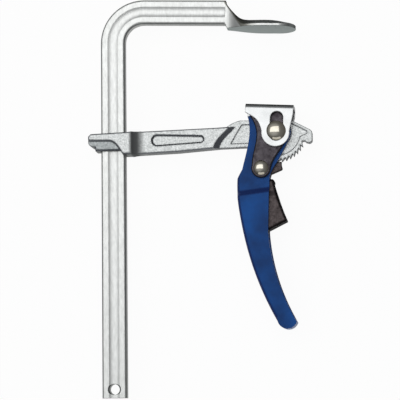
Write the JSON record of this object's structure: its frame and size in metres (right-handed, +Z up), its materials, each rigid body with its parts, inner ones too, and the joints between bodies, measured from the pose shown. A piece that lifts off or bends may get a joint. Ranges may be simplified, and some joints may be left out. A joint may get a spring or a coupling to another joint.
{
  "type": "lever clamp",
  "caption": "One-handed lever clamp with a bent rail, a sliding arm, a ratchet lever with a release trigger and a swivelling pressure plate.",
  "frame": {"origin": "middle of the hanging hole near the rail's free end, halfway through the rail", "axes": "+Y along the rail towards the fixed jaw, +X from the rail along the two arms, +Z up out of the clamp's flat side as it lies"},
  "size_m": [0.1557, 0.2775, 0.0292],
  "materials": {
    "rail_steel": "zinc plated, satin",
    "arm_steel": "zinc plated forging, finely mottled",
    "plate_steel": "bright zinc plated sheet",
    "lever_paint": "glossy blue paint",
    "cheek_steel": "burnished, satin",
    "pin_steel": "nickel plated, bright",
    "catch_steel": "blackened, satin",
    "spring_steel": "drawn wire"
  },
  "bodies": {
    "rail": {"bent_rail": "rail_steel"},
    "arm": {"sliding_arm": "arm_steel"},
    "lever": {"lever_shell": "lever_paint", "cheek_front": "cheek_steel", "cheek_back": "cheek_steel", "lower_pin": "pin_steel", "pawl_sleeve": "pin_steel", "trigger_spring": "spring_steel"},
    "catch": {"pawl": "catch_steel", "release_trigger": "catch_steel", "trigger_rivet": "pin_steel"},
    "pivot": {"main_pin": "pin_steel"},
    "plate": {"pressure_plate": "plate_steel"}
  },
  "joints": [
    {"name": "arm_slide", "type": "slide", "parent": "rail", "child": "arm", "axis": [0, 1, 0], "range_m": [-0.15, 0.05]},
    {"name": "lever_turn", "type": "hinge", "parent": "arm", "child": "lever", "pos_m": [0.1143, 0.1753, 0], "axis": [0, 0, 1], "range_deg": [-18, 55]},
    {"name": "trigger_pull", "type": "hinge", "parent": "lever", "child": "catch", "pos_m": [0.10323, 0.15021, 0], "axis": [0, 0, -1], "range_deg": [0, 10], "stiffness_Nm_per_rad": 0.3, "springref_deg": -20.05, "deforming": ["trigger_spring"]},
    {"name": "plate_swivel", "type": "hinge", "parent": "arm", "child": "pivot", "pos_m": [0.1143, 0.1753, 0], "axis": [0, 0, 1], "range_deg": [-3, 3]},
    {"name": "plate_lift", "type": "slide", "parent": "pivot", "child": "plate", "axis": [0.0576, 0.9983, 0], "range_m": [-0.0056, 0.0019]}
  ],
  "couplings": [
    {"joint": "plate_lift", "follows": "lever_turn", "m_per_rad": -0.0057}
  ]
}
